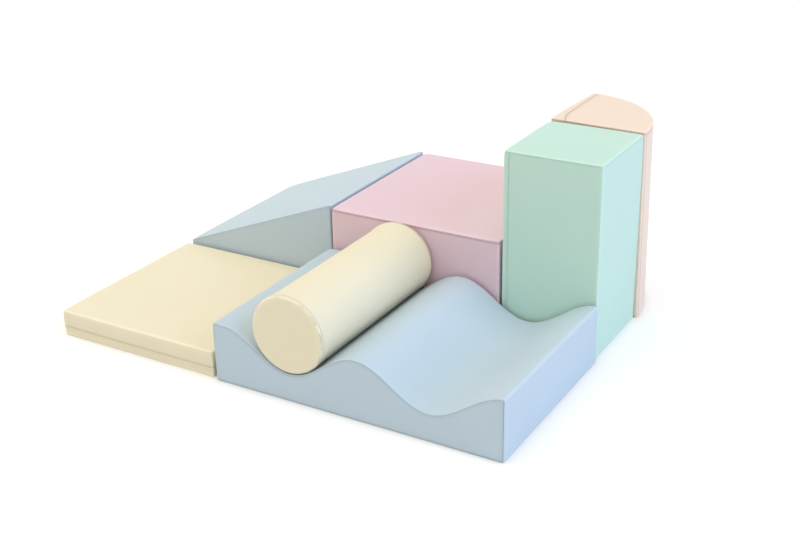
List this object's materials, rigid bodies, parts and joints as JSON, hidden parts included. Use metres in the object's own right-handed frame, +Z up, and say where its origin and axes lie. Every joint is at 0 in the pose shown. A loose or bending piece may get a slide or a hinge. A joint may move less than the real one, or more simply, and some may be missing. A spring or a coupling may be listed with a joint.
{
  "type": "soft play foam climber",
  "caption": "Soft play climber set of loose leatherette-covered foam modules: mat, wedge, step, column, quarter-round, wave and a roller in its trough.",
  "frame": {"origin": "on the floor under the middle of the set as it stands in the picture", "axes": "+X to the right along the front of the set, the longest side; +Y away from the front; +Z up, the shortest side"},
  "size_m": [1.4804, 1.2318, 0.5904],
  "materials": {
    "cream_leatherette": "soft satin polyurethane leatherette with a fine grain",
    "blue_leatherette": "soft satin polyurethane leatherette with a fine grain",
    "pink_leatherette": "soft satin polyurethane leatherette with a fine grain",
    "green_leatherette": "soft satin polyurethane leatherette with a fine grain",
    "peach_leatherette": "soft satin polyurethane leatherette with a fine grain",
    "foam": "matte open-cell polyurethane foam",
    "non_slip_base": "matte dotted non-slip fabric",
    "zip_tape": "matte woven tape with a moulded coil chain",
    "zip_slider": "satin"
  },
  "bodies": {
    "mat": {"mat_core": "foam", "mat_upper_cover": "cream_leatherette", "mat_lower_cover": "cream_leatherette", "mat_base_panel": "non_slip_base", "mat_zip": "zip_tape"},
    "wave": {"wave_core": "foam", "wave_front_panel": "blue_leatherette", "wave_wrap_panel": "blue_leatherette", "wave_back_panel": "blue_leatherette", "wave_base_panel": "non_slip_base", "wave_zip": "zip_tape"},
    "wedge": {"wedge_core": "foam", "wedge_front_panel": "blue_leatherette", "wedge_wrap_panel": "blue_leatherette", "wedge_back_panel": "blue_leatherette", "wedge_base_panel": "non_slip_base", "wedge_zip": "zip_tape"},
    "step": {"step_core": "foam", "step_top_panel": "pink_leatherette", "step_side_band": "pink_leatherette", "step_base_panel": "non_slip_base", "step_zip": "zip_tape"},
    "column": {"column_core": "foam", "column_top_panel": "green_leatherette", "column_side_band": "green_leatherette", "column_base_panel": "non_slip_base", "column_zip": "zip_tape"},
    "quarter": {"quarter_core": "foam", "quarter_top_panel": "peach_leatherette", "quarter_left_panel": "peach_leatherette", "quarter_front_panel": "peach_leatherette", "quarter_round_panel": "peach_leatherette", "quarter_base_panel": "non_slip_base", "quarter_zip": "zip_tape"},
    "roller": {"roller_core": "foam", "roller_sleeve": "cream_leatherette", "roller_front_disc": "cream_leatherette", "roller_rear_disc": "cream_leatherette", "roller_zip": "zip_tape"},
    "mat_zip_slider": {"mat_zip_slider": "zip_slider"},
    "wave_zip_slider": {"wave_zip_slider": "zip_slider"},
    "wedge_zip_slider": {"wedge_zip_slider": "zip_slider"},
    "step_zip_slider": {"step_zip_slider": "zip_slider"},
    "column_zip_slider": {"column_zip_slider": "zip_slider"},
    "quarter_zip_slider": {"quarter_zip_slider": "zip_slider"},
    "roller_zip_slider": {"roller_zip_slider": "zip_slider"}
  },
  "joints": [
    {"name": "mat_pull_away", "type": "slide", "parent": "wave", "child": "mat", "axis": [-1, 0, 0], "range_m": [0, 0.3]},
    {"name": "wedge_pull_away", "type": "slide", "parent": "wave", "child": "wedge", "axis": [-1, 0, 0], "range_m": [0, 0.3]},
    {"name": "step_pull_away", "type": "slide", "parent": "wave", "child": "step", "axis": [0, 1, 0], "range_m": [0, 0.3]},
    {"name": "column_pull_away", "type": "slide", "parent": "wave", "child": "column", "axis": [1, 0, 0], "range_m": [0, 0.3]},
    {"name": "quarter_pull_away", "type": "slide", "parent": "wave", "child": "quarter", "axis": [0, 1, 0], "range_m": [0, 0.3]},
    {"name": "roller_roll", "type": "hinge", "parent": "wave", "child": "roller", "pos_m": [0.09655, -0.3185, 0.1984], "axis": [0, 1, 0], "continuous": true},
    {"name": "mat_zip_slide", "type": "slide", "parent": "mat", "child": "mat_zip_slider", "axis": [0, 1, 0], "range_m": [0, 0.457]},
    {"name": "wave_zip_slide", "type": "slide", "parent": "wave", "child": "wave_zip_slider", "axis": [0, 1, 0], "range_m": [0, 0.458]},
    {"name": "wedge_zip_slide", "type": "slide", "parent": "wedge", "child": "wedge_zip_slider", "axis": [-1, 0, 0], "range_m": [0, 0.4335]},
    {"name": "step_zip_slide", "type": "slide", "parent": "step", "child": "step_zip_slider", "axis": [-1, 0, 0], "range_m": [0, 0.44]},
    {"name": "column_zip_slide", "type": "slide", "parent": "column", "child": "column_zip_slider", "axis": [-1, 0, 0], "range_m": [0, 0.1585]},
    {"name": "quarter_zip_slide", "type": "slide", "parent": "quarter", "child": "quarter_zip_slider", "axis": [0.0379, 0.9993, 0], "range_m": [0, 0.165]},
    {"name": "roller_zip_slide", "type": "slide", "parent": "roller", "child": "roller_zip_slider", "axis": [0, 1, 0], "range_m": [0, 0.456]}
  ]
}
